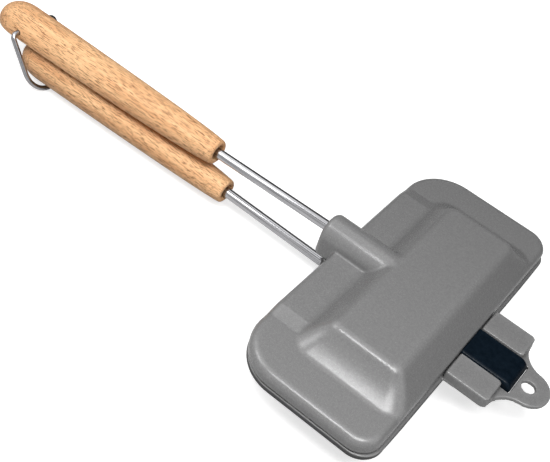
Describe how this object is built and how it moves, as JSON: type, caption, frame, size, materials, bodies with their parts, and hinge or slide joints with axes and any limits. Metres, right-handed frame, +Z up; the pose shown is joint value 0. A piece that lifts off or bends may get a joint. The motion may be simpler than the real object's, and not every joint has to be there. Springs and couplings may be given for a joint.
{
  "type": "pie iron",
  "caption": "Hinged double-sided sandwich pan with domed cast halves, steel rods, turned wooden grips and a wire latch loop; opens like a clamshell to toast filled bread.",
  "frame": {"origin": "on the lower dome's flat face, under the middle of the plates, on the plane of symmetry", "axes": "+X from the grips towards the hinge and the hanging tab, +Y along the plates, +Z up through both halves"},
  "size_m": [0.331, 0.165, 0.0413],
  "materials": {
    "coated_casting": "matte grey baked coating on cast aluminium",
    "black_tongue": "satin black coating",
    "polished_rod": "polished stainless steel",
    "latch_wire": "bright drawn steel wire",
    "plain_steel": "plain turned steel",
    "dark_screw": "black oxide",
    "beech": "oiled turned beech"
  },
  "bodies": {
    "lower_half": {"lower_plate": "coated_casting", "hinge_pin": "plain_steel", "lower_rod": "polished_rod", "lower_rod_screw": "dark_screw", "lower_grip": "beech", "lower_grip_insert": "plain_steel"},
    "upper_half": {"upper_plate": "coated_casting", "hinge_tongue": "black_tongue", "tongue_pins": "plain_steel", "upper_rod": "polished_rod", "upper_rod_screw": "dark_screw", "upper_grip": "beech", "upper_grip_insert": "plain_steel"},
    "latch": {"latch_loop": "latch_wire"}
  },
  "joints": [
    {"name": "main_hinge", "type": "hinge", "parent": "lower_half", "child": "upper_half", "pos_m": [0.0513, 0, 0.0202], "axis": [0, 1, 0], "range_deg": [0, 120]},
    {"name": "latch_swing", "type": "hinge", "parent": "upper_half", "child": "latch", "pos_m": [-0.23468, 0, 0.0251], "axis": [0, 1, 0], "range_deg": [0, 275]}
  ]
}
